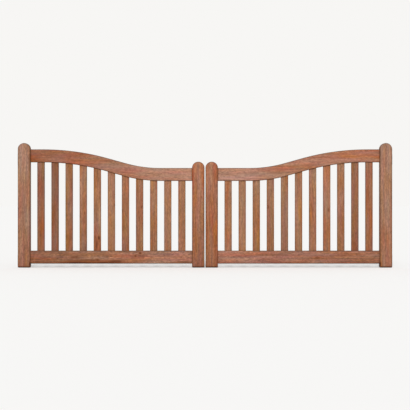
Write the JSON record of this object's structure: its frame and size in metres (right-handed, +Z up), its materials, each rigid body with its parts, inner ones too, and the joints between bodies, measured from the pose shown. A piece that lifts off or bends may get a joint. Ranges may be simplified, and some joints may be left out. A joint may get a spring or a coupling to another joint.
{
  "type": "arched double garden gate",
  "caption": "Pair of mirrored timber gate leaves with swept tops, round-headed stiles and upright slats, hung on hook and band hinges so that they swing open.",
  "frame": {"origin": "centre of the left lower hook plate, on the face that lies on the left post", "axes": "+X along the closed gate from the left post to the right one, +Y towards the back, where the hinges are and the leaves open, +Z up"},
  "size_m": [3.026, 0.0901, 0.9999],
  "materials": {
    "frame_wood": "planed and oiled",
    "slat_wood": "planed and oiled",
    "hinge_steel": "galvanised"
  },
  "bodies": {
    "hooks": {"left_lower_hook": "hinge_steel", "left_upper_hook": "hinge_steel", "right_lower_hook": "hinge_steel", "right_upper_hook": "hinge_steel"},
    "left_leaf": {"left_hanging_stile": "frame_wood", "left_meeting_stile": "frame_wood", "left_top_rail": "frame_wood", "left_bottom_rail": "frame_wood", "left_slat_1": "slat_wood", "left_slat_2": "slat_wood", "left_slat_3": "slat_wood", "left_slat_4": "slat_wood", "left_slat_5": "slat_wood", "left_slat_6": "slat_wood", "left_slat_7": "slat_wood", "left_slat_8": "slat_wood", "left_slat_9": "slat_wood", "left_slat_10": "slat_wood", "left_slat_11": "slat_wood", "left_lower_band": "hinge_steel", "left_upper_band": "hinge_steel"},
    "right_leaf": {"right_hanging_stile": "frame_wood", "right_meeting_stile": "frame_wood", "right_top_rail": "frame_wood", "right_bottom_rail": "frame_wood", "right_slat_1": "slat_wood", "right_slat_2": "slat_wood", "right_slat_3": "slat_wood", "right_slat_4": "slat_wood", "right_slat_5": "slat_wood", "right_slat_6": "slat_wood", "right_slat_7": "slat_wood", "right_slat_8": "slat_wood", "right_slat_9": "slat_wood", "right_slat_10": "slat_wood", "right_slat_11": "slat_wood", "right_lower_band": "hinge_steel", "right_upper_band": "hinge_steel"}
  },
  "joints": [
    {"name": "left_leaf_swing", "type": "hinge", "parent": "hooks", "child": "left_leaf", "pos_m": [0.027, 0, 0.0243], "axis": [0, 0, 1], "range_deg": [0, 90]},
    {"name": "right_leaf_swing", "type": "hinge", "parent": "hooks", "child": "right_leaf", "pos_m": [2.999, 0, 0.0243], "axis": [0, 0, -1], "range_deg": [0, 90]}
  ]
}
